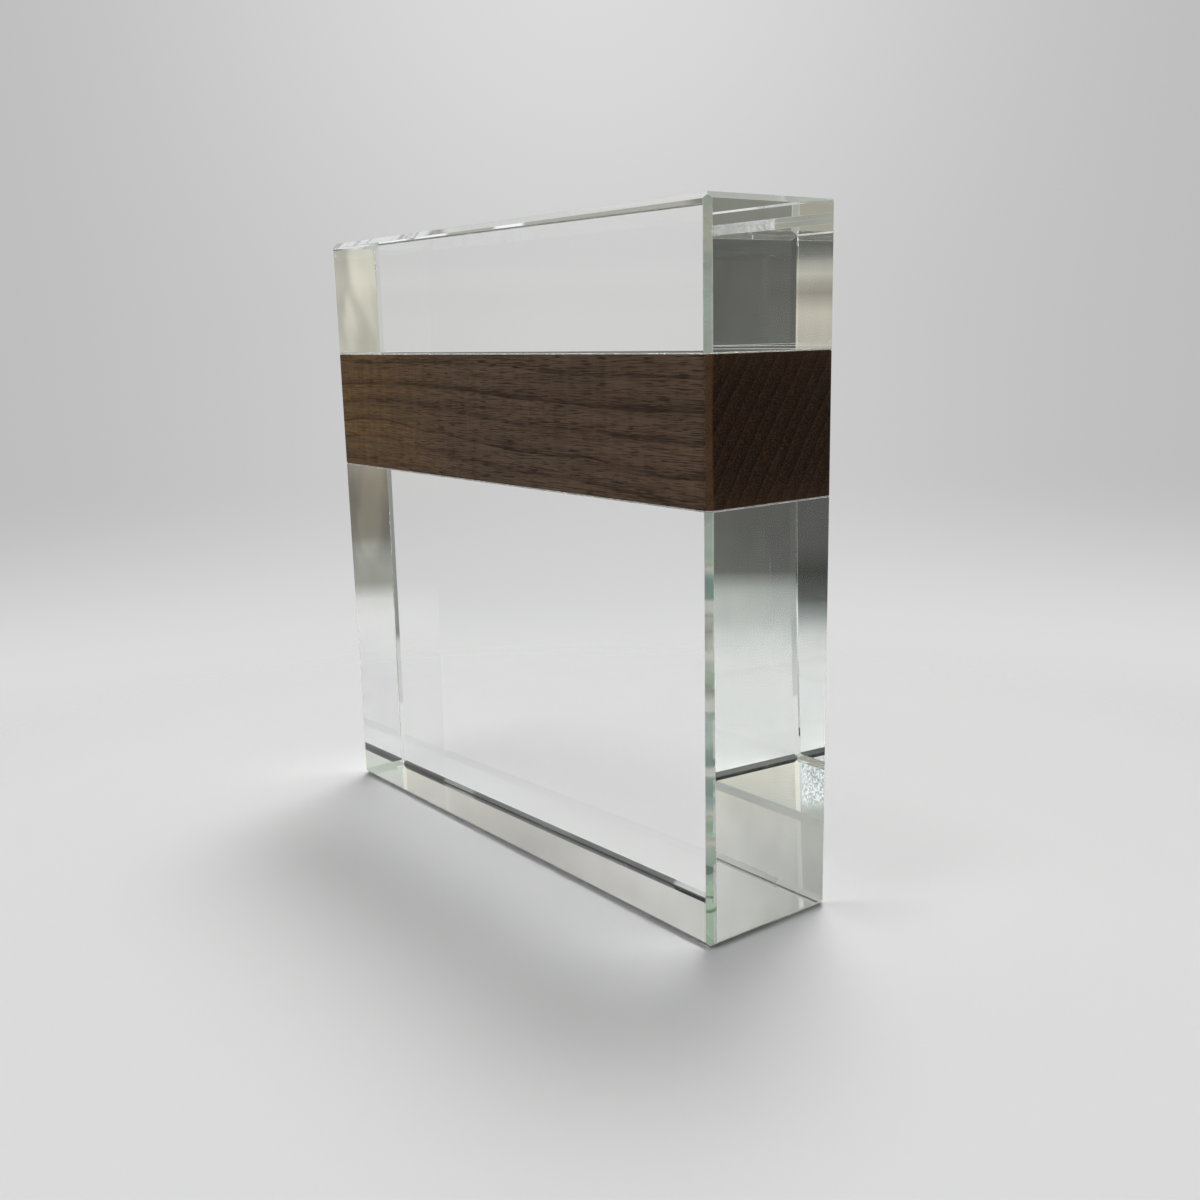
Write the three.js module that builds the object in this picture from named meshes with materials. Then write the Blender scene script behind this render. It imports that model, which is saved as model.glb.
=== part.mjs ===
// A crystal photo block: two blocks of clear optical crystal bonded to a walnut bar between them.
// Millimetres, +Z up. The origin is the centre of the underside. The wide front face looks
// along -Y, and +X is on the right of someone who faces it.

import * as THREE from "three";
import { ConvexGeometry } from "three/addons/geometries/ConvexGeometry.js";

// Plan of the whole block, which every piece shares
const blockWidth = 150;
const blockDepth = 35;

// Heights of the stacked pieces, from the underside up
const lowerCrystalHeight = 91;
const walnutBarHeight = 29.5;
const upperCrystalHeight = 29;
const glueFilmThickness = 0.25;

// Setbacks of the 45 degree bevels, measured on each of the two faces that a bevel joins.
// The upright ones run down the whole stack, glue and walnut included.
const uprightBevel = 1.25;
const topBevel = 1.25;
const undersideBevel = 1.25;

function polishedCrystal() {
  return new THREE.MeshStandardMaterial({
    color: 0xe9f0ea,
    roughness: 0.02,
    metalness: 0,
    transparent: true,
    opacity: 0.35,
  });
}

function curedGlue() {
  return new THREE.MeshStandardMaterial({
    color: 0xf0f1e6,
    roughness: 0.15,
    metalness: 0,
    transparent: true,
    opacity: 0.6,
  });
}

function oiledWalnut() {
  return new THREE.MeshStandardMaterial({ color: 0x4a3a2d, roughness: 0.5, metalness: 0 });
}

// The block's plan at one level: a rectangle whose corners the upright bevels cut off. `inset`
// draws every side in, and once it has eaten half of the upright bevel the corner is square.
function planAt(level, inset) {
  const x = blockWidth / 2 - inset;
  const y = blockDepth / 2 - inset;
  const cut = Math.max(uprightBevel - 2 * inset, 0);
  const corners = [];
  for (const sideX of [1, -1]) {
    for (const sideY of [1, -1]) {
      corners.push(new THREE.Vector3(sideX * x, sideY * (y - cut), level));
      corners.push(new THREE.Vector3(sideX * (x - cut), sideY * y, level));
    }
  }
  return corners;
}

// The plans that shape one end of a piece. `inward` is 1 at its lower end and -1 at its upper
// end. `bevel` is the setback of the bevel round that end, which is 0 where the piece is glued.
// At each corner that bevel's two sides mitre with the upright bevel, which runs out to a point.
function endPlans(level, inward, bevel) {
  const uprightRunsOut = Math.min(uprightBevel / 2, bevel);
  const insets = [0, uprightRunsOut, bevel];
  return insets.flatMap((inset) => planAt(level + inward * (bevel - inset), inset));
}

// One piece of the stack, from its own level 0 up: the convex solid that spans both its ends
function stackedPiece({ height, lowerBevel = 0, upperBevel = 0 }) {
  return new ConvexGeometry([
    ...endPlans(0, 1, lowerBevel),
    ...endPlans(height, -1, upperBevel),
  ]);
}

// The pieces in the order in which they are stacked
const stack = [
  {
    name: "lower_crystal",
    size: { height: lowerCrystalHeight, lowerBevel: undersideBevel },
    material: polishedCrystal(),
  },
  {
    name: "lower_glue_film",
    size: { height: glueFilmThickness },
    material: curedGlue(),
  },
  {
    name: "walnut_bar",
    size: { height: walnutBarHeight },
    material: oiledWalnut(),
  },
  {
    name: "upper_glue_film",
    size: { height: glueFilmThickness },
    material: curedGlue(),
  },
  {
    name: "upper_crystal",
    size: { height: upperCrystalHeight, upperBevel: topBevel },
    material: polishedCrystal(),
  },
];

const photoBlock = new THREE.Group();
let level = 0;
for (const { name, size, material } of stack) {
  const mesh = new THREE.Mesh(stackedPiece(size), material);
  mesh.name = name;
  mesh.position.z = level;
  photoBlock.add(mesh);
  // A mesh holds 32-bit numbers, so the next piece starts at the top that this one really has
  level += Math.fround(size.height);
}

export default photoBlock;
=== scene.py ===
import math

import bmesh
import bpy
from mathutils import Matrix, Vector


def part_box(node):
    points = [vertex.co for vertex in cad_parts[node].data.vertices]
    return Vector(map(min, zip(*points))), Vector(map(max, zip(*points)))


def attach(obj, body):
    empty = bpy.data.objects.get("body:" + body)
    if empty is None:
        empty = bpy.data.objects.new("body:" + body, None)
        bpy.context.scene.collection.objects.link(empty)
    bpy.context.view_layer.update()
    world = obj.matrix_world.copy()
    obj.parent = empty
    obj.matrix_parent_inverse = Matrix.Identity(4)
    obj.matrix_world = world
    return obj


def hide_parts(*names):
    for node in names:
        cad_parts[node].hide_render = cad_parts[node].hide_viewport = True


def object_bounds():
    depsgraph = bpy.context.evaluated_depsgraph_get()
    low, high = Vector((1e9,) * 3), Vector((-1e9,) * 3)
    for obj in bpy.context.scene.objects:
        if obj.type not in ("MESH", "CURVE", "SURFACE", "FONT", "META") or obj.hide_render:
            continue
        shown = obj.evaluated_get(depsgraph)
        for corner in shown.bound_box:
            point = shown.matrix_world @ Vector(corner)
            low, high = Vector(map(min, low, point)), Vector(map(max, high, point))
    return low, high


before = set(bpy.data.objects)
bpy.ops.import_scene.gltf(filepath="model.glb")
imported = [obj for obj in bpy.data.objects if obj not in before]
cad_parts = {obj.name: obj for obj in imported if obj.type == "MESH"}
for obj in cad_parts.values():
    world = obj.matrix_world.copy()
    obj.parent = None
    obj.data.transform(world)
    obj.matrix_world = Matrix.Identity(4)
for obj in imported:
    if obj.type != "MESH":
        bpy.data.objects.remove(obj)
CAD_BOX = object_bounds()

# Lengths here are metres, and MM turns a size in millimetres into one
MM = 0.001

# Bevels of the crystals and the walnut, as they were ground
UPRIGHT_BEVEL = 1.25 * MM
# In turn along the two short edges, the front edge and the back edge
UNDERSIDE_BEVELS = (1.25 * MM, 1.25 * MM, 1.25 * MM)
TOP_BEVELS = (1.25 * MM, 1.25 * MM, 0.20 * MM)
# The near corner of the lower crystal was ground wider on its side face, towards the foot
FOOT_FLARE = 0.6 * MM
EDGE_ROUNDING = 0.07 * MM

# In turn the spacing of points, the chips at the rims, the ragged gap, the clearance and the seed
WALNUT_EDGE = (0.7 * MM, 0.40 * MM, 0.0, 0.0, 2.0)
LOWER_GLUE_EDGE = (0.6 * MM, 0.03 * MM, 0.20 * MM, 0.002 * MM, 11.0)
UPPER_GLUE_EDGE = (0.6 * MM, 0.03 * MM, 0.20 * MM, 0.002 * MM, 12.0)
# The height of one ring of the crystals' loft, and how near two points are to be one
RING_SPACING = 1.5 * MM
SAME_POINT = 0.0001 * MM
# Keeps the outermost points inside the block's own sizes, whatever the rounding
SLACK = 0.00005 * MM

# The near bevel starts at this value of x + y, and spans this much of it
NEAR_BEVEL_START = CAD_BOX[1].x + CAD_BOX[0].y - UPRIGHT_BEVEL
NEAR_BEVEL_SPAN = 2 * UPRIGHT_BEVEL
# Just short of where the bevels start, along the width and along the depth
PAST_ENDS = CAD_BOX[1].x - UPRIGHT_BEVEL - 0.05 * MM
PAST_FACES = CAD_BOX[1].y - UPRIGHT_BEVEL - 0.05 * MM
# The height of a painted glint on the near bevel: a short white band in its frosting
PAINTED_GLINT_HEIGHT = 72.5 * MM

CRYSTAL_IOR = 1.50
GLUE_IOR = 1.49


class Value:
    """One output of a node. Arithmetic on it adds the Math nodes that work it out."""

    def __init__(self, nodes, socket):
        self.nodes = nodes
        self.socket = socket

    def __add__(self, other):
        return self.nodes.math("ADD", self, other)

    def __radd__(self, other):
        return self.nodes.math("ADD", other, self)

    def __sub__(self, other):
        return self.nodes.math("SUBTRACT", self, other)

    def __rsub__(self, other):
        return self.nodes.math("SUBTRACT", other, self)

    def __mul__(self, other):
        return self.nodes.math("MULTIPLY", self, other)

    def __rmul__(self, other):
        return self.nodes.math("MULTIPLY", other, self)

    def __truediv__(self, other):
        return self.nodes.math("DIVIDE", self, other)

    def __gt__(self, other):
        return self.nodes.math("GREATER_THAN", self, other)

    def __lt__(self, other):
        return self.nodes.math("LESS_THAN", self, other)

    def __abs__(self):
        return self.nodes.math("ABSOLUTE", self)


class Nodes:
    """A node tree and the ways that values are worked out in it."""

    def __init__(self, tree):
        self.tree = tree
        tree.nodes.clear()

    def node(self, kind, settings=None, sockets=None, output=0):
        """Adds a node, sets it up, fills its sockets, and gives one of its outputs."""
        made = self.tree.nodes.new(kind)
        for name, value in (settings or {}).items():
            if name == "stops":
                fill_ramp(made.color_ramp, value)
            else:
                setattr(made, name, value)
        for name, value in (sockets or {}).items():
            if isinstance(value, Value):
                self.tree.links.new(value.socket, made.inputs[name])
            else:
                made.inputs[name].default_value = value
        return Value(self, made.outputs[output])

    def math(self, operation, *numbers):
        return self.node("ShaderNodeMath", {"operation": operation}, dict(enumerate(numbers)))

    def blend(self, share, low, high):
        """The colour between low and high, by a share from 0 to 1."""
        sockets = {"Factor": share, 6: low, 7: high}
        return self.node("ShaderNodeMix", {"data_type": "RGBA"}, sockets, output=2)

    def between(self, value, low, high, to_low=0.0, to_high=1.0):
        """Goes smoothly from to_low to to_high as the value goes from low to high."""
        sockets = {"Value": value, 1: low, 2: high, 3: to_low, 4: to_high}
        return self.node("ShaderNodeMapRange", {"interpolation_type": "SMOOTHSTEP"}, sockets)

    def within(self, value, low, high, soft):
        """One from low to high and nothing outside, with soft borders."""
        rise = self.between(value, low - soft, low + soft)
        return rise * self.between(value, high + soft, high - soft)

    def parts(self, vector):
        """The x, y and z of a vector."""
        made = self.tree.nodes.new("ShaderNodeSeparateXYZ")
        self.tree.links.new(vector.socket, made.inputs[0])
        return [Value(self, output) for output in made.outputs]

    def noise(self, vector, scale, detail=2.0, roughness=0.5, distortion=0.0):
        sockets = {
            "Vector": vector,
            "Scale": scale,
            "Detail": detail,
            "Roughness": roughness,
            "Distortion": distortion,
        }
        return self.node("ShaderNodeTexNoise", None, sockets)

    def stretched(self, vector, scale):
        """The vector with each axis scaled by its own number."""
        return self.node("ShaderNodeMapping", None, {"Vector": vector, "Scale": scale})

    def vector(self, operation, *vectors):
        return self.node("ShaderNodeVectorMath", {"operation": operation}, dict(enumerate(vectors)))


class Shader(Nodes):
    """The node tree of a material or of the world."""

    def __init__(self, owner):
        owner.use_nodes = True
        super().__init__(owner.node_tree)

    def principled(self, sockets):
        return self.node("ShaderNodeBsdfPrincipled", None, sockets, output="BSDF")

    def mixed(self, share, first, second):
        """The first surface and the second, by a share from 0 to 1."""
        return self.node("ShaderNodeMixShader", None, {0: share, 1: first, 2: second})

    def even(self, level):
        """A grey of that level."""
        return self.node("ShaderNodeCombineColor", None, {0: level, 1: level, 2: level})

    def finish(self, kind, surface, volume=None):
        made = self.tree.nodes.new(kind)
        self.tree.links.new(surface.socket, made.inputs["Surface"])
        if volume is not None:
            self.tree.links.new(volume.socket, made.inputs["Volume"])


class Form(Nodes):
    """A Geometry Nodes tree with one mesh output. Its inputs are named sizes, and a material."""

    def __init__(self, name, sizes):
        super().__init__(bpy.data.node_groups.new(name, "GeometryNodeTree"))
        interface = self.tree.interface
        interface.new_socket("Geometry", in_out="OUTPUT", socket_type="NodeSocketGeometry")
        for size in sizes:
            interface.new_socket(size, in_out="INPUT", socket_type="NodeSocketFloat")
        interface.new_socket("Material", in_out="INPUT", socket_type="NodeSocketMaterial")
        self.inputs = self.tree.nodes.new("NodeGroupInput")

    def given(self, name):
        """The value that a piece gives to one of the tree's inputs."""
        return Value(self, self.inputs.outputs[name])

    def finish(self, geometry):
        whole = self.node("GeometryNodeRealizeInstances", None, {"Geometry": geometry})
        sockets = {"Geometry": whole, "Material": self.given("Material")}
        coated = self.node("GeometryNodeSetMaterial", None, sockets)
        self.tree.links.new(coated.socket, self.tree.nodes.new("NodeGroupOutput").inputs[0])

    def grown(self, name, values):
        """A plain mesh object, grown by the tree from these values of its inputs."""
        piece = bpy.data.objects.new(name, bpy.data.meshes.new(name))
        bpy.context.scene.collection.objects.link(piece)
        modifier = piece.modifiers.new(name, "NODES")
        modifier.node_group = self.tree
        for socket in self.tree.interface.items_tree:
            if socket.in_out == "INPUT":
                modifier[socket.identifier] = values[socket.name]
        shape = piece.evaluated_get(bpy.context.evaluated_depsgraph_get())
        mesh = bpy.data.meshes.new_from_object(shape)
        piece.modifiers.remove(modifier)
        piece.data = mesh
        mesh.name = name
        return piece


def fill_ramp(ramp, stops):
    """Gives a colour ramp these stops, each a place from 0 to 1 and a colour."""
    for stop in stops[2:]:
        ramp.elements.new(stop[0])
    for element, (place, colour) in zip(ramp.elements, stops):
        element.position = place
        element.color = colour


def new_material(name):
    material = bpy.data.materials.new(name)
    return material, Shader(material)


def grey(level):
    return (level, level, level, 1.0)


# Painted light and dark bands of the near bevel, standing in for what it reflects and refracts, by
# the noise that they come from
PAINTED_BAND_TONES = [
    (0.34, (0.36, 0.52, 0.47, 1.0)),
    (0.42, (0.66, 0.80, 0.70, 1.0)),
    (0.47, (1.00, 1.00, 0.86, 1.0)),
    (0.53, (0.66, 0.66, 0.54, 1.0)),
    (0.58, (0.66, 0.86, 0.66, 1.0)),
    (0.64, (0.48, 0.66, 0.50, 1.0)),
]
# Painted tones of the near bevel's plain upper part and of its lowest part, its painted dark dashes
# and its painted highlights
BARE_TONES = ((0.78, 0.80, 0.64, 1.0), (0.62, 0.72, 0.62, 1.0))
LOWEST_TONE = (0.64, 0.90, 0.64, 1.0)
PAINTED_DASH_TONE = (0.16, 0.22, 0.17, 1.0)
PAINTED_HIGHLIGHT_TONE = (0.98, 1.0, 0.93, 1.0)
# Tints of the clear crystal on its bevels, and painted shade with painted shadow lines on the bevels
# of its underside, where the block stands on the paper
NEAR_TINT = (0.96, 1.0, 0.96, 1.0)
FAR_TINT = (0.62, 0.64, 0.62, 1.0)
TOP_TINT = (0.90, 0.91, 0.89, 1.0)
FRONT_FOOT_SHADE = (0.55, 0.56, 0.55, 1.0)
BACK_FOOT_SHADE = (0.05, 0.05, 0.05, 1.0)
LEFT_FOOT_SHADE = (0.10, 0.11, 0.12, 1.0)
PAINTED_SHADOW_LINE = (0.03, 0.03, 0.03, 1.0)
# How far the ends of the painted facet bands bow along the near bevel
FACET_BOW = 0.7 * MM


def painted_bevel_light(s, z, width):
    """The painted light and dark tones of the near bevel's short facets, where a painted highlight or
    glint is, and which part is low down.
    """
    band_place = s.node("ShaderNodeCombineXYZ", None, {0: 1.7, 1: 0.2, 2: z * 95.0})
    band_noise = s.noise(band_place, 1.0, detail=1.0)
    bowed = z + FACET_BOW * width * (1 - width)
    facet_place = s.node("ShaderNodeCombineXYZ", None, {0: 0.3, 1: 0.7, 2: bowed * 150.0})
    painted_facet_noise = s.noise(facet_place, 1.0, detail=1.0) + 0.012 * width
    low_down = s.between(z, 72 * MM, 75 * MM, 1.0, 0.0)
    # Painted highlights: white bands low down where the noise is high, and a painted glint at one
    # height
    painted_highlight = s.between(painted_facet_noise, 0.565, 0.640) * s.between(z, 12 * MM, 16 * MM)
    # Painted dark dashes among the bands
    painted_dark_dash = s.between(painted_facet_noise, 0.398, 0.390) * s.between(painted_facet_noise, 0.345, 0.375)
    painted_dark_dash = painted_dark_dash * s.between(z, 30 * MM, 50 * MM, 0.9, 0.2)
    painted_glint = s.between(abs(z - PAINTED_GLINT_HEIGHT), 1.7 * MM, 0.8 * MM)
    painted_highlight = s.math("MAXIMUM", painted_highlight * low_down, painted_glint)

    painted_band_tone = s.node("ShaderNodeValToRGB", {"stops": PAINTED_BAND_TONES}, {0: band_noise})
    bare_tone = s.blend(s.between(band_noise, 0.40, 0.60), *BARE_TONES)
    tone = s.blend(s.between(z, 88 * MM, 78 * MM), bare_tone, painted_band_tone)
    tone = s.blend(s.between(z, 18 * MM, 12 * MM), tone, LOWEST_TONE)
    tone = s.blend(painted_dark_dash * low_down, tone, PAINTED_DASH_TONE)
    return s.blend(painted_highlight, tone, PAINTED_HIGHLIGHT_TONE), painted_highlight, low_down


def painted_foot_shade(s, x, y, z, foot_back):
    """Painted shade on the four bevels of the underside, with the painted shadow lines that run along
    them.
    """
    shaded_back = foot_back * s.between(x, 46 * MM, 44 * MM)
    tone = s.blend(shaded_back, grey(1.0), BACK_FOOT_SHADE)
    front_shadow_line = s.between(z, 0.15 * MM, 0.35 * MM) * s.between(x, -45 * MM, 0.0)
    front = s.blend(front_shadow_line, FRONT_FOOT_SHADE, PAINTED_SHADOW_LINE)
    tone = s.blend(y < -PAST_FACES, tone, front)
    end_shadow_line = s.between(z, 0.65 * MM, 0.45 * MM) * s.between(y, 8 * MM, -2 * MM)
    tone = s.blend(x > PAST_ENDS, tone, s.blend(end_shadow_line, grey(1.0), PAINTED_SHADOW_LINE))
    return s.blend(x < -PAST_ENDS, tone, LEFT_FOOT_SHADE)


def foot_haze(s, x, z, foot_back):
    """How dull the underside's back bevel is: more where it is worn, and along its lower edge, where
    a painted shadow line is.
    """
    far_end = s.between(x, -52 * MM, -53 * MM)
    worn = s.between(x, -53 * MM, -51 * MM) * s.between(x, -36 * MM, -39 * MM)
    painted_shadow_edge = foot_back * (1 - far_end) * s.between(z, 0.36 * MM, 0.22 * MM)
    haze = s.between(x, 46 * MM, 44 * MM, 0.0, 0.42) + 0.5 * worn
    haze = haze * (1 - far_end) + far_end * s.between(z, 0.15 * MM, 1.2 * MM, 0.08, 0.45)
    return s.math("MAXIMUM", foot_back * haze, 0.8 * painted_shadow_edge), painted_shadow_edge


def crystal_material():
    """Clear crystal, faintly green along a long path, with hand-ground bevels. Its near bevel has
    painted light and dark bands, painted highlights and a painted glint, and the bevels of its
    underside have painted shade.
    """
    material, s = new_material("polished_crystal")
    place = s.node("ShaderNodeTexCoord", output="Object")
    x, y, z = s.parts(place)
    across, out, up = s.parts(s.node("ShaderNodeNewGeometry", output="Normal"))
    upright_bevel = s.between(abs(across * out), 0.1, 0.4)
    near_corner = upright_bevel * (x > 0) * (y < 0)
    far_corners = upright_bevel * (y > 0)
    slope = abs(up)
    end_bevel = s.between(slope * (1 - slope), 0.05, 0.18)
    foot_bevel = end_bevel * (z < 10 * MM)
    foot_back = foot_bevel * (y > PAST_FACES)
    top_bevel = end_bevel * (1 - foot_bevel)

    width = (x + y - NEAR_BEVEL_START) / NEAR_BEVEL_SPAN
    painted_bevel_tone, painted_highlight, low_down = painted_bevel_light(s, z, width)
    # A painted highlight along both edges of the near bevel, broken up by noise: plain white frosting
    # in place of the painted bands
    highlight_breaks = s.noise(s.stretched(place, (12.0, 12.0, 190.0)), 1.0)
    arris_highlight = s.between(width, 0.82, 0.94) * s.between(highlight_breaks, 0.44, 0.52)
    arris_highlight = arris_highlight * (0.4 + 0.6 * low_down)
    arris_highlight = near_corner * s.math("MAXIMUM", arris_highlight, 0.35 * s.between(width, 0.14, 0.04))

    tint = s.blend(near_corner, grey(1.0), NEAR_TINT)
    middling = s.between(z, 18 * MM, 20 * MM) * s.between(z, 44 * MM, 40 * MM)
    tint = s.blend(far_corners * middling, tint, FAR_TINT)
    tint = s.blend(top_bevel, tint, TOP_TINT)
    # Painted shade on the bevels of the underside, with painted shadow lines along them
    tint = s.blend(foot_bevel, tint, painted_foot_shade(s, x, y, z, foot_back))
    grinding = s.noise(s.stretched(place, (90.0, 90.0, 130.0)), 1.0)
    ripples = s.noise(s.stretched(place, (60.0, 60.0, 110.0)), 1.0)
    sockets = {"Strength": 1.0, "Distance": 0.6 * MM, "Height": ripples * near_corner}
    polished = s.principled(
        {
            "Base Color": tint,
            "Roughness": s.between(grinding, 0.35, 0.65, 0.16, 0.34) * near_corner + 0.05 * end_bevel,
            "IOR": CRYSTAL_IOR,
            "Transmission Weight": 1.0,
            "Normal": s.node("ShaderNodeBump", None, sockets),
        }
    )

    back_haze, painted_shadow_edge = foot_haze(s, x, z, foot_back)
    # The frosting's tone: plain near white, with the near bevel's painted bands, highlights and glint
    frosted_and_painted_tone = s.blend(near_corner * (1 - arris_highlight), grey(0.95), painted_bevel_tone)
    # A near-black painted shadow line along the lower edge of the underside's back bevel
    frosted_and_painted_tone = s.blend(painted_shadow_edge, frosted_and_painted_tone, grey(0.04))
    ground = s.principled({"Base Color": frosted_and_painted_tone, "Roughness": 0.6, "Specular IOR Level": 0.0})
    haze = s.between(grinding, 0.38, 0.62, 0.64, 0.82) + 0.25 * painted_highlight
    haze = s.math("MAXIMUM", near_corner * s.math("MINIMUM", haze, 1.0), 0.85 * arris_highlight)
    rubbed = s.noise(s.stretched(place, (160.0, 30.0, 30.0)), 1.0, detail=1.0)
    rubbed = s.between(rubbed, 0.40, 0.52, 0.45, 0.95) * s.between(x, -22 * MM, -27 * MM)
    rubbed = rubbed * top_bevel * (y < -PAST_FACES)
    haze = s.math("MAXIMUM", haze, s.math("MAXIMUM", rubbed, back_haze))

    green = {"Color": (0.50, 0.95, 0.62, 1.0), "Density": 0.4}
    absorbed = s.node("ShaderNodeVolumeAbsorption", None, green)
    s.finish("ShaderNodeOutputMaterial", s.mixed(haze, polished, ground), absorbed)
    return material


def glue_material():
    """Cured glue: a little milky where it touches the wood, and flecked along its open edge."""
    material, s = new_material("cured_glue")
    place = s.node("ShaderNodeTexCoord", output="Object")
    facing = s.parts(s.node("ShaderNodeNewGeometry", output="Normal"))
    bonded = abs(facing[2]) > 0.5

    clouds = s.noise(s.stretched(place, (60.0, 140.0, 140.0)), 1.0, detail=3.0)
    bubbles = s.noise(place, 2600.0, detail=1.0)
    milkiness = s.between(clouds, 0.35, 0.65, 0.22, 0.44) + s.between(bubbles, 0.66, 0.74, 0.0, 0.2)
    milky = s.node("ShaderNodeBsdfDiffuse", None, {"Color": (0.60, 0.60, 0.56, 1.0)})
    clear = s.node("ShaderNodeBsdfTransparent", None, {"Color": grey(1.0)})
    contact = s.mixed(milkiness, clear, milky)

    flecks = s.noise(s.stretched(place, (500.0, 500.0, 1500.0)), 1.0)
    fleck = s.between(flecks, 0.50, 0.64)
    edge = s.principled(
        {
            "Base Color": s.blend(fleck, (0.84, 0.83, 0.75, 1.0), (0.99, 0.99, 0.96, 1.0)),
            "Roughness": 0.18 + 0.3 * fleck,
            "IOR": GLUE_IOR,
            "Transmission Weight": 0.35,
        }
    )
    s.finish("ShaderNodeOutputMaterial", s.mixed(bonded, edge, contact))
    return material


def walnut_material():
    """Dark walnut: growth rings and pores run along X, so the bar's ends show rings and dots."""
    material, s = new_material("oiled_walnut")
    place = s.node("ShaderNodeTexCoord", output="Object")
    millimetres = s.stretched(place, (1 / MM, 1 / MM, 1 / MM))
    x, y, z = s.parts(millimetres)
    facing = s.parts(s.node("ShaderNodeNewGeometry", output="Normal"))
    turned = abs(facing[0])
    on_bevel = s.between(turned, 0.4, 0.7)
    end_grain = s.between(turned, 0.80, 0.98)

    sweep = s.noise(s.stretched(millimetres, (0.012, 0.02, 0.02)), 1.0, detail=1.0)
    ripple = s.noise(s.stretched(millimetres, (0.035, 0.08, 0.08)), 1.0, detail=3.0)
    ring_depth = 0.82 * y - 0.57 * z - 0.020 * x + 8.0 * sweep + 1.4 * ripple
    seasons = s.node("ShaderNodeCombineXYZ", None, {0: ring_depth * 0.23})
    ring_depth = (ring_depth + 2.6 * s.noise(seasons, 1.0, detail=1.0)) / 3.1
    ring = s.math("FRACT", ring_depth)
    year = s.math("FLOOR", ring_depth)
    strength = s.math("FRACT", s.math("SINE", year * 12.9) * 43.7)
    late_wood = s.between(ring, 0.30, 0.92) * (1 - s.between(ring, 0.93, 1.0))
    late_line = s.between(ring, 0.76, 0.93) * (1 - s.between(ring, 0.94, 1.0))

    streaks = s.noise(s.stretched(millimetres, (0.020, 0.55, 0.55)), 1.0, detail=5.0)
    fibres = s.noise(s.stretched(millimetres, (0.09, 3.2, 3.2)), 1.0, detail=3.0, roughness=0.75)
    short_pores = s.noise(s.stretched(millimetres, (0.20, 4.8, 4.8)), 1.0, detail=1.0)
    long_pores = s.noise(s.stretched(millimetres, (0.09, 3.9, 3.9)), 1.0, detail=1.0)
    crowded = s.noise(s.stretched(millimetres, (0.05, 0.35, 0.35)), 1.0, detail=2.0)
    crowding = 0.16 * crowded + 0.05 * late_wood
    pore = s.math(
        "MAXIMUM",
        s.between(short_pores + crowding, 0.65, 0.74),
        0.8 * s.between(long_pores + crowding, 0.68, 0.78),
    )
    worn_line = s.between(crowded, 0.34, 0.60, 0.35, 1.0)
    figure = s.noise(s.stretched(millimetres, (0.45, 0.12, 0.12)), 1.0, detail=2.0)
    patches = s.noise(s.stretched(millimetres, (0.014, 0.05, 0.05)), 1.0, detail=1.0)
    towards_left = s.between(x, -85.0, 0.0, 1.0, 0.0)

    plain = s.blend(patches, (0.178, 0.112, 0.069, 1.0), (0.148, 0.098, 0.064, 1.0))
    warmed = s.blend(towards_left * 0.85, plain, (0.250, 0.140, 0.038, 1.0))
    figured = s.blend(s.between(figure, 0.35, 0.70, 0.0, 0.28), warmed, (0.075, 0.050, 0.034, 1.0))
    streaked = s.blend(s.between(streaks, 0.35, 0.68, 0.0, 0.45), figured, (0.075, 0.048, 0.031, 1.0))
    fibred = s.blend(s.between(fibres, 0.36, 0.66, 0.0, 0.56), streaked, (0.062, 0.040, 0.027, 1.0))
    lined = late_line * (0.24 + 0.40 * strength) * worn_line + late_wood * 0.12
    lined = lined * (1 - 0.65 * on_bevel)
    line_tone = s.blend(towards_left, (0.028, 0.016, 0.010, 1.0), (0.060, 0.028, 0.010, 1.0))
    ringed = s.blend(lined, fibred, line_tone)
    pored = s.blend(pore * (0.76 - 0.42 * towards_left), ringed, (0.020, 0.012, 0.008, 1.0))

    speckle = s.noise(s.stretched(millimetres, (0.3, 4.2, 4.2)), 1.0, detail=2.0, roughness=0.8)
    rays = s.noise(s.stretched(millimetres, (0.3, 1.1, 5.0)), 1.0, detail=1.0)
    early_line = s.between(ring, 0.22, 0.04)
    fleck = s.between(speckle + 0.25 * rays, 0.48, 0.84) * (1 - 0.34 * late_wood - 0.20 * late_line)
    fleck = fleck + 0.16 * early_line
    end_tone = s.blend(fleck, (0.0065, 0.0032, 0.0016, 1.0), (0.072, 0.037, 0.018, 1.0))
    ground = s.blend(on_bevel * 0.55, pored, (0.108, 0.050, 0.022, 1.0))
    colour = s.blend(end_grain, ground, end_tone)

    height = 1 - 0.3 * late_line - pore - 0.3 * fibres
    sockets = {"Strength": 0.4, "Distance": 0.08 * MM, "Height": height}
    wood = s.principled(
        {
            "Base Color": colour,
            "Roughness": 0.52 + 0.2 * pore,
            "Specular IOR Level": 0.05,
            "Normal": s.node("ShaderNodeBump", None, sockets),
        }
    )
    s.finish("ShaderNodeOutputMaterial", wood)
    return material


def finished_piece(name, node, bm, material):
    """Turns a bmesh into a piece that stands for the CAD node, in its place."""
    bmesh.ops.remove_doubles(bm, verts=bm.verts, dist=SAME_POINT)
    bmesh.ops.recalc_face_normals(bm, faces=bm.faces)
    mesh = bpy.data.meshes.new(name)
    bm.to_mesh(mesh)
    bm.free()
    piece = bpy.data.objects.new(name, mesh)
    bpy.context.scene.collection.objects.link(piece)
    mesh.materials.append(material)
    return replacing(piece, node)


def replacing(piece, node):
    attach(piece, "root")
    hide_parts(node)
    return piece


def round_edges(piece, width):
    bevel = piece.modifiers.new("rounded_edges", "BEVEL")
    bevel.width = width
    bevel.segments = 2
    bevel.limit_method = "ANGLE"
    bevel.angle_limit = math.radians(20)
    bevel.harden_normals = True
    for face in piece.data.polygons:
        face.use_smooth = True


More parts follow.
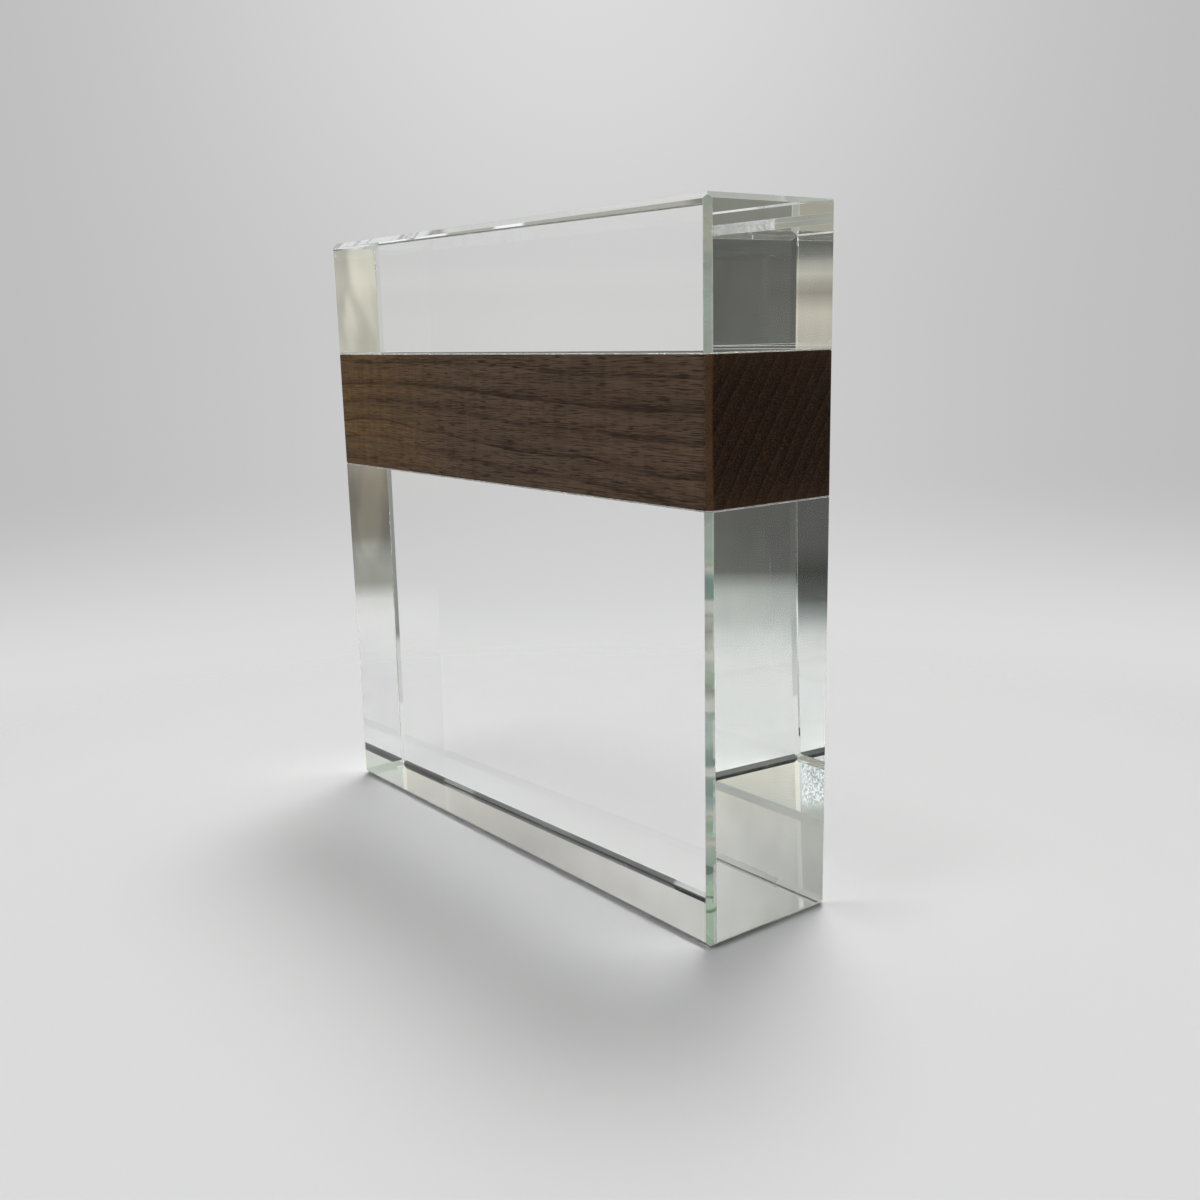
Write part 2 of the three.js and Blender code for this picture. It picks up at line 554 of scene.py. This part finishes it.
CORNERS = [(1, -1), (1, 1), (-1, 1), (-1, -1)]


def upright_setbacks(corner, rise):
    """How far the upright bevel sets back the wide face and the end face, at a height share."""
    if corner != (1, -1):
        return UPRIGHT_BEVEL, UPRIGHT_BEVEL
    wave = 0.05 * MM * math.sin(9.0 * rise + 0.6) + 0.03 * MM * math.sin(23.0 * rise)
    return UPRIGHT_BEVEL + 0.4 * wave, UPRIGHT_BEVEL + FOOT_FLARE * (1 - rise) ** 2 + wave


def ring_of(half_x, half_y, level, setbacks):
    """The eight corners of the block's plan at one level."""
    ring = []
    for (side_x, side_y), (on_wide, on_end) in zip(CORNERS, setbacks):
        wide = Vector((side_x * (half_x - on_wide), side_y * half_y, level))
        end = Vector((side_x * half_x, side_y * (half_y - on_end), level))
        ring += [wide, end] if side_x == -side_y else [end, wide]
    return ring


def end_rings(half_x, half_y, level, inward, bevels, setbacks):
    """Rings that close a crystal's bevelled end: its flat, the mitres and the shoulders."""
    on_ends, on_front, on_back = bevels
    flat, mitres, shoulders = [], [], []
    for (side_x, side_y), (wide, end) in zip(CORNERS, setbacks):
        along = on_back if side_y > 0 else on_front

        def at(inset_x, inset_y, inset_z):
            place = (side_x * (half_x - inset_x), side_y * (half_y - inset_y))
            return Vector((*place, level + inward * inset_z))

        drop = (on_ends / wide + along / end - 1) / (1 / wide + 1 / end)
        mitre = (on_ends - drop, along - drop, drop)
        pair = [at(wide, 0, along), at(0, end, on_ends)]
        flat += [at(on_ends, along, 0), at(on_ends, along, 0)]
        mitres += [at(*mitre), at(*mitre)]
        shoulders += pair if side_x == -side_y else pair[::-1]
    return [flat, mitres, shoulders]


def loft(rings):
    """A closed bmesh through rings of equal length, with flat caps."""
    bm = bmesh.new()
    rows = [[bm.verts.new(point) for point in ring] for ring in rings]
    count = len(rows[0])
    for lower, upper in zip(rows, rows[1:]):
        for i in range(count):
            j = (i + 1) % count
            bm.faces.new([lower[i], lower[j], upper[j], upper[i]])
    bm.faces.new(rows[0][::-1])
    bm.faces.new(rows[-1])
    return bm


def crystal_piece(name, node, bevelled_end, bevels, material):
    """A crystal block with its one bevelled end, below or above, and its other end bonded."""
    low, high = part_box(node)
    half_x, half_y = high.x - SLACK, high.y - SLACK
    below = bevelled_end == "below"
    end_level, joint_level = (low.z, high.z) if below else (high.z, low.z)
    inward = 1 if below else -1
    first = end_level + inward * max(bevels)
    steps = max(2, round(abs(joint_level - first) / RING_SPACING))

    def setbacks_at(level):
        return [upright_setbacks(corner, level / CAD_BOX[1].z) for corner in CORNERS]

    rings = end_rings(half_x, half_y, end_level, inward, bevels, setbacks_at(first))
    for step in range(1, steps + 1):
        level = first + (joint_level - first) * step / steps
        rings.append(ring_of(half_x, half_y, level, setbacks_at(level)))
    piece = finished_piece(name, node, loft(rings), material)
    round_edges(piece, EDGE_ROUNDING)
    return piece


def bonded_layer():
    """The tree that grows a layer of the block from its plan, with a ragged or chipped edge."""
    form = Form(
        "bonded_layer",
        ("Width", "Depth", "Bevel", "Low", "High", "Spacing", "Chips", "Ragged", "Seed"),
    )
    sockets = {"Width": form.given("Width"), "Height": form.given("Depth")}
    plan = form.node("GeometryNodeCurvePrimitiveQuadrilateral", None, sockets)
    sockets = {"Curve": plan, "Count": 1, "Radius": form.given("Bevel")}
    plan = form.node("GeometryNodeFilletCurve", {"mode": "POLY"}, sockets)

    here = form.node("GeometryNodeInputPosition")
    sockets = {"Offset": 1}
    after = form.node("GeometryNodeOffsetPointInCurve", None, sockets, output=1)
    vectors = {"data_type": "FLOAT_VECTOR"}
    there = form.node("GeometryNodeFieldAtIndex", vectors, {"Index": after, "Value": here})
    stretch = form.node(
        "ShaderNodeVectorMath", {"operation": "DISTANCE"}, {0: here, 1: there}, output="Value"
    )
    cuts = form.math("FLOOR", stretch / form.given("Spacing"))
    plan = form.node("GeometryNodeSubdivideCurve", None, {"Curve": plan, "Cuts": cuts})

    along = form.node("GeometryNodeInputTangent")
    inward = form.vector("CROSS_PRODUCT", (0, 0, 1), along)
    for name, value in (("place", here), ("inward", inward)):
        settings = {"data_type": "FLOAT_VECTOR", "domain": "POINT"}
        sockets = {"Geometry": plan, "Name": name, "Value": value}
        plan = form.node("GeometryNodeStoreNamedAttribute", settings, sockets)

    sockets = {"Start": (0, 0, 0), "End": (0, 0, 1)}
    rise = form.node("GeometryNodeCurvePrimitiveLine", None, sockets)
    rise = form.node("GeometryNodeResampleCurve", None, {"Curve": rise, "Count": 4})
    sockets = {"Geometry": rise, "Name": "row", "Value": form.node("GeometryNodeInputIndex")}
    rise = form.node("GeometryNodeStoreNamedAttribute", {"domain": "POINT"}, sockets)
    sockets = {"Curve": rise, "Profile Curve": plan, "Fill Caps": True}
    layer = form.node("GeometryNodeCurveToMesh", None, sockets)

    row = form.node("GeometryNodeInputNamedAttribute", None, {"Name": "row"})
    place = form.node("GeometryNodeInputNamedAttribute", vectors, {"Name": "place"})
    inward = form.node("GeometryNodeInputNamedAttribute", vectors, {"Name": "inward"})
    upper = row > 1.5
    rim = (row < 0.5) + (row > 2.5)

    def wander(seed, scale):
        settings = {"noise_dimensions": "4D"}
        sockets = {"Vector": place, "W": seed, "Scale": scale, "Detail": 2.0}
        return form.node("ShaderNodeTexNoise", settings, sockets)

    seed = form.given("Seed")
    bites = form.between(wander(seed + 7 * upper, 420.0), 0.40, 0.72, 0.15, 1.0)
    chip = form.given("Chips") * bites
    gap = form.given("Ragged") * form.between(wander(seed + 3, 300.0), 0.35, 0.70)
    low, high = form.given("Low"), form.given("High")
    level = low + upper * (high - low) + (1 - rim) * chip * (1 - 2 * upper)
    x, y, z = form.parts(place)
    into_x, into_y = form.parts(inward)[:2]
    inset = gap + rim * chip
    spot = form.node(
        "ShaderNodeCombineXYZ", None, {0: x + into_x * inset, 1: y + into_y * inset, 2: level}
    )
    layer = form.node("GeometryNodeSetPosition", None, {"Geometry": layer, "Position": spot})
    for name in ("row", "place", "inward"):
        sockets = {"Geometry": layer, "Name": name}
        layer = form.node("GeometryNodeRemoveAttribute", None, sockets)
    form.finish(layer)
    return form


def layer_piece(form, name, node, material, edge):
    """A layer that fills the CAD node's space. The edge gives its chips, ragged gaps and seed."""
    low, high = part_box(node)
    spacing, chips, ragged, clearance, seed = edge
    values = {
        "Width": high.x - low.x - 2 * SLACK,
        "Depth": high.y - low.y - 2 * SLACK,
        "Bevel": UPRIGHT_BEVEL,
        "Low": low.z + clearance,
        "High": high.z - clearance,
        "Spacing": spacing,
        "Chips": chips,
        "Ragged": ragged,
        "Seed": seed,
        "Material": material,
    }
    return replacing(form.grown(name, values), node)


# The camera stands where the photograph was taken from
CAMERA_PLACE = Vector((0.2599, -0.1869, 0.1252))
CAMERA_HEADING = math.radians(-52.37)
CAMERA_PITCH = math.radians(-12.75)
CAMERA_ROLL = math.radians(-1.29)
CAMERA_LENS = 39.37
CAMERA_RISE = 0.0244


def make_camera():
    data = bpy.data.cameras.new("camera")
    data.lens = CAMERA_LENS
    data.sensor_width = 36.0
    data.shift_y = CAMERA_RISE
    data.clip_start = 0.01
    data.clip_end = 50.0
    camera = bpy.data.objects.new("camera", data)
    bpy.context.scene.collection.objects.link(camera)
    ahead = Vector(
        (
            math.sin(CAMERA_HEADING) * math.cos(CAMERA_PITCH),
            math.cos(CAMERA_HEADING) * math.cos(CAMERA_PITCH),
            math.sin(CAMERA_PITCH),
        )
    )
    right = ahead.cross(Vector((0, 0, 1))).normalized()
    up = right.cross(ahead)
    turn = Matrix.Rotation(-CAMERA_ROLL, 3, ahead)
    right, up = turn @ right, turn @ up
    camera.matrix_world = Matrix.Translation(CAMERA_PLACE) @ Matrix(
        (right, up, -ahead)
    ).transposed().to_4x4()
    bpy.context.scene.camera = camera


PAPER_TONE = 0.665
PAPER_EDGE = 0.20
PAPER_FADE = 0.05
# It lies this far under the block's underside
PAPER_DROP = 0.05 * MM
# Painted shade on the paper behind the block: its tone is a little darker there
PAINTED_SHADE_BEHIND = 0.11


def make_paper():
    """A round sheet of pale paper that fades out into the world's own floor tone, with painted shade
    just behind the block.
    """
    bm = bmesh.new()
    bmesh.ops.create_circle(bm, cap_ends=True, segments=96, radius=PAPER_EDGE + PAPER_FADE)
    bmesh.ops.translate(bm, verts=bm.verts, vec=(0, 0, -PAPER_DROP))
    mesh = bpy.data.meshes.new("paper")
    bm.to_mesh(mesh)
    bm.free()
    paper = bpy.data.objects.new("paper", mesh)
    bpy.context.scene.collection.objects.link(paper)
    material, s = new_material("pale_paper")
    place = s.node("ShaderNodeTexCoord", output="Object")
    x, y = s.parts(place)[:2]
    reach = s.math("SQRT", x * x + y * y)
    fade = s.between(reach, PAPER_EDGE - PAPER_FADE, PAPER_EDGE + PAPER_FADE)
    # Painted shade: a soft patch just behind the block where the paper's tone is darker
    behind = s.between(y, 10 * MM, 20 * MM) * s.between(y, 100 * MM, 30 * MM)
    behind = behind * s.between(abs(x), 100 * MM, 70 * MM)
    shaded_paper_tone = s.even(PAPER_TONE * (1 - PAINTED_SHADE_BEHIND * behind))
    sheet = s.node("ShaderNodeBsdfDiffuse", None, {"Color": shaded_paper_tone})
    clear = s.node("ShaderNodeBsdfTransparent", None, {"Color": grey(1.0)})
    s.finish("ShaderNodeOutputMaterial", s.mixed(fade, sheet, clear))
    mesh.materials.append(material)


# The soft main light is high up, behind the block and a little to its left
LIGHT_TOWARDS = Vector((-0.255, 0.377, 1.0)).normalized()
LIGHT_LEVEL = 16.0
FILL_LEVEL = 0.55
# The fill is weaker from the side that the narrow end faces
FILL_FALL = 0.22
FLOOR_TONE = 0.685
# The heading of the view, and the elevations that the tones of the room run over, in degrees
VIEW_HEADING = -52.4
TONES_START = -40
TONES_SPAN = 100

# What the crystal mirrors of the room on three of its sides: elevations in degrees, and tones
DARK_SIDE = [
    (-14.0, (0.62, 0.62, 0.61)),
    (-12.9, (0.55, 0.57, 0.55)),
    (-12.5, (0.44, 0.46, 0.44)),
    (-11.2, (0.36, 0.38, 0.36)),
    (-10.3, (0.09, 0.09, 0.083)),
    (-7.0, (0.065, 0.066, 0.058)),
    (-5.2, (0.17, 0.17, 0.145)),
    (-1.0, (0.075, 0.076, 0.068)),
    (3.5, (0.065, 0.065, 0.058)),
    (13.0, (0.55, 0.54, 0.49)),
    (18.5, (0.72, 0.70, 0.61)),
    (22.0, (0.54, 0.53, 0.51)),
    (27.0, (0.45, 0.45, 0.43)),
    (38.0, (0.54, 0.54, 0.52)),
    (41.0, (0.42, 0.42, 0.40)),
    (46.0, (0.25, 0.25, 0.21)),
    (56.0, (0.50, 0.50, 0.48)),
]
WARM_SIDE = [
    (-14.0, (0.57, 0.58, 0.55)),
    (-12.9, (0.48, 0.49, 0.47)),
    (-12.2, (0.24, 0.26, 0.255)),
    (-11.5, (0.05, 0.055, 0.05)),
    (-10.3, (0.02, 0.022, 0.015)),
    (-9.2, (0.06, 0.06, 0.055)),
    (-7.0, (0.06, 0.06, 0.055)),
    (-5.0, (0.40, 0.37, 0.30)),
    (-1.0, (0.48, 0.45, 0.38)),
    (0.6, (0.54, 0.50, 0.42)),
    (1.5, (0.27, 0.24, 0.20)),
    (2.3, (0.54, 0.52, 0.46)),
    (3.0, (0.12, 0.12, 0.105)),
    (3.6, (0.05, 0.05, 0.045)),
    (14.0, (0.60, 0.645, 0.65)),
    (20.0, (0.60, 0.645, 0.65)),
    (20.6, (0.38, 0.39, 0.36)),
    (27.0, (0.26, 0.26, 0.25)),
    (39.0, (0.50, 0.50, 0.46)),
    (42.5, (0.27, 0.27, 0.22)),
    (56.0, (0.50, 0.50, 0.48)),
]
WINDOW_SIDE = [
    (-18.5, (0.46, 0.48, 0.42)),
    (-16.0, (0.57, 0.58, 0.545)),
    (-11.0, (0.59, 0.60, 0.56)),
    (-10.5, (0.28, 0.28, 0.24)),
    (-9.0, (0.29, 0.30, 0.26)),
    (-8.3, (0.13, 0.12, 0.085)),
    (-6.0, (0.165, 0.14, 0.087)),
    (-2.0, (0.44, 0.42, 0.33)),
    (0.0, (0.40, 0.39, 0.32)),
    (2.0, (0.52, 0.50, 0.41)),
    (4.0, (0.44, 0.43, 0.36)),
    (17.0, (0.44, 0.50, 0.42)),
    (19.0, (0.60, 0.60, 0.56)),
    (56.0, (0.44, 0.50, 0.42)),
]

# Single things, each with its headings and its elevations in degrees, both with the softness of
# their borders, and with a tone. First what is seen straight through the crystal
DOORWAY = ((-36.0, -12.0, 1.0), (-12.8, -5.0, 0.3), (0.20, 0.205, 0.19, 1.0))
SHELF = ((-55.0, -42.0, 0.5), (9.5, 16.0, 0.15), (0.165, 0.175, 0.17, 1.0))
# And what is seen by reflection: a low wall, a skylight and a high window
LOW_WALL = ((-80.0, -48.2, 0.4), (-6.0, -2.6, 0.6), (0.36, 0.36, 0.32, 1.0))
SKYLIGHT = ((-98.0, -76.0, 2.0), (28.0, 36.0, 1.0), (0.86, 0.84, 0.74, 1.0))
HIGH_WINDOW = ((-98.0, -93.0, 0.6), (36.5, 52.0, 0.6), (1.0, 1.0, 0.97, 1.0))
# The headings of the three windows over the low wall, and their elevations and tone
WINDOWS = ((-69.0, -60.0, 0.2), (-59.7, -58.4, 0.12), (-56.4, -55.2, 0.12))
WINDOW_RISE = (-5.8, -2.8, 0.3)
WINDOW_TONE = (0.97, 1.0, 1.04, 1.0)


def tones(s, elevation, stops):
    """A colour that changes with the elevation. Each stop is in degrees, with a linear colour."""
    ramp = [((degrees - TONES_START) / TONES_SPAN, (*colour, 1.0)) for degrees, colour in stops]
    share = (elevation - TONES_START) / TONES_SPAN
    return s.node("ShaderNodeValToRGB", {"stops": ramp}, {0: share})


def with_thing(s, seen, thing, heading, elevation, share=1.0):
    """What is seen, with one of the single things in front of it."""
    headings, elevations, tone = thing
    covered = s.within(heading, *headings) * s.within(elevation, *elevations)
    return s.blend(share * covered, seen, tone)


def main_light(s, direction):
    """The soft main light and the fill, which light the block and the floor."""
    x, y, z = s.parts(direction)
    degree = math.radians(1)
    to_light = x * LIGHT_TOWARDS.x + y * LIGHT_TOWARDS.y + z * LIGHT_TOWARDS.z
    soft_box = s.between(to_light, math.cos(15 * degree), math.cos(4 * degree), 0.0, LIGHT_LEVEL)
    return s.even(soft_box + FILL_LEVEL - FILL_FALL * x)


def seen_behind(s, heading, elevation, tone):
    """The pale wall and the far floor. The tone goes from floor to wall."""
    aside = abs(heading - VIEW_HEADING)
    glow = s.between(elevation, 0, 14, 0.0, 0.085) * s.between(aside, 0, 26, 1.0, 0.0)
    wall = s.between(aside, 0, 29, 0.622, 0.505) + s.between(aside, 35, 70, 0.0, 0.10) + glow
    far_floor = FLOOR_TONE + s.between(elevation, -16, -13, 0.0, 0.03)
    return s.even(tone * wall + (1 - tone) * far_floor)


def unevenness(s, direction, heading, elevation):
    """What the room's tones are multiplied by: blotches, upright streaks, folds and glitter."""
    folds = s.noise(s.stretched(direction, (42.0, 42.0, 9.0)), 1.0, distortion=0.6)
    fold = s.within(elevation, -9.5, 4.5, 0.8) * s.between(folds, 0.36, 0.64, -0.32, 0.30)
    blotch = s.between(s.noise(direction, 7.0, detail=3.0), 0.3, 0.7, 0.80, 1.20)
    streaks = s.noise(s.stretched(direction, (110.0, 110.0, 14.0)), 1.0)
    uneven = blotch + s.between(streaks, 0.3, 0.7, -0.03, 0.03)
    uneven = uneven + fold * s.within(heading, 5.0, 95.0, 5.0)
    glitter = s.between(elevation, 16.0, 18.0) * (1 - s.between(elevation, 20.0, 20.6))
    sparkle = s.noise(s.stretched(direction, (900.0, 900.0, 560.0)), 1.0, detail=1.0)
    return uneven + glitter * (heading < -90) * s.between(sparkle, 0.36, 0.66, -0.26, 0.56)


def reflected_room(s, direction, heading, elevation, turns):
    """The room as the crystal mirrors it, after that many turns of the light."""
    dark, warm, window = [tones(s, elevation, side) for side in (DARK_SIDE, WARM_SIDE, WINDOW_SIDE)]
    room = s.blend(s.between(heading, -100, -80), warm, dark)
    room = s.blend(s.between(heading, -10, 10), room, window)
    room = s.blend(s.between(heading, 80, 100), room, warm)
    uneven = unevenness(s, direction, heading, elevation)
    room = s.node("ShaderNodeVectorMath", {"operation": "SCALE"}, {0: room, "Scale": uneven})
    room = with_thing(s, room, LOW_WALL, heading, elevation)
    first, second, third = [s.within(heading, *headings) for headings in WINDOWS]
    windows = (first + second + third) * s.within(elevation, *WINDOW_RISE)
    room = s.blend(windows, room, WINDOW_TONE)
    room = with_thing(s, room, SKYLIGHT, heading, elevation)
    room = with_thing(s, room, HIGH_WINDOW, heading, elevation)
    pale_wall = s.between(abs(heading), 138.0, 158.0) * (turns > 2.5)
    return s.blend(pale_wall, room, (0.80, 0.86, 0.76, 1.0))


def make_world():
    """What lights the block, what is seen past it, and what shows by reflection inside it."""
    world = bpy.data.worlds.new("studio")
    bpy.context.scene.world = world
    s = Shader(world)
    direction = s.node("ShaderNodeTexCoord", output="Generated")
    x, y, z = s.parts(direction)
    elevation = s.math("ARCSINE", z) / math.radians(1)
    heading = s.math("ARCTAN2", x, y) / math.radians(1)
    light_path = "ShaderNodeLightPath"
    through = s.node(light_path, output="Is Transmission Ray")
    glossy = s.node(light_path, output="Is Glossy Ray")
    camera = s.node(light_path, output="Is Camera Ray")
    turns = s.node(light_path, output="Glossy Depth")
    turned = turns > 0.5
    lit = s.node(light_path, output="Diffuse Depth") > 0.5

    tone = s.between(elevation, -13.4, -5.5)
    backdrop = seen_behind(s, heading, elevation, tone)
    backdrop = with_thing(s, backdrop, DOORWAY, heading, elevation, through)
    backdrop = with_thing(s, backdrop, SHELF, heading, elevation, through)
    mirrored = s.blend(tone, grey(FLOOR_TONE), grey(0.8))
    straight = s.blend(camera + through * (1 - turned), mirrored, backdrop)
    room = reflected_room(s, direction, heading, elevation, turns)
    seen = s.blend(through * turned, straight, room)
    looked_at = s.math("MINIMUM", through + glossy + camera, 1.0) * (1 - lit)
    colour = s.blend(looked_at, main_light(s, direction), seen)
    background = s.node("ShaderNodeBackground", None, {"Color": colour, "Strength": 1.0})
    s.finish("ShaderNodeOutputWorld", background)


def set_light_paths():
    cycles = bpy.context.scene.cycles
    cycles.max_bounces = 32
    cycles.blur_glossy = 0.0
    cycles.glossy_bounces = 24
    cycles.transmission_bounces = 24
    cycles.transparent_max_bounces = 32


make_camera()
make_paper()
make_world()
set_light_paths()

crystal = crystal_material()
glue = glue_material()
crystal_piece("lower_crystal_block", "lower_crystal", "below", UNDERSIDE_BEVELS, crystal)
crystal_piece("upper_crystal_block", "upper_crystal", "above", TOP_BEVELS, crystal)

layer = bonded_layer()
layer_piece(layer, "walnut_block", "walnut_bar", walnut_material(), WALNUT_EDGE)
layer_piece(layer, "lower_glue_line", "lower_glue_film", glue, LOWER_GLUE_EDGE)
layer_piece(layer, "upper_glue_line", "upper_glue_film", glue, UPPER_GLUE_EDGE)

bpy.context.scene.view_settings.view_transform = "Standard"
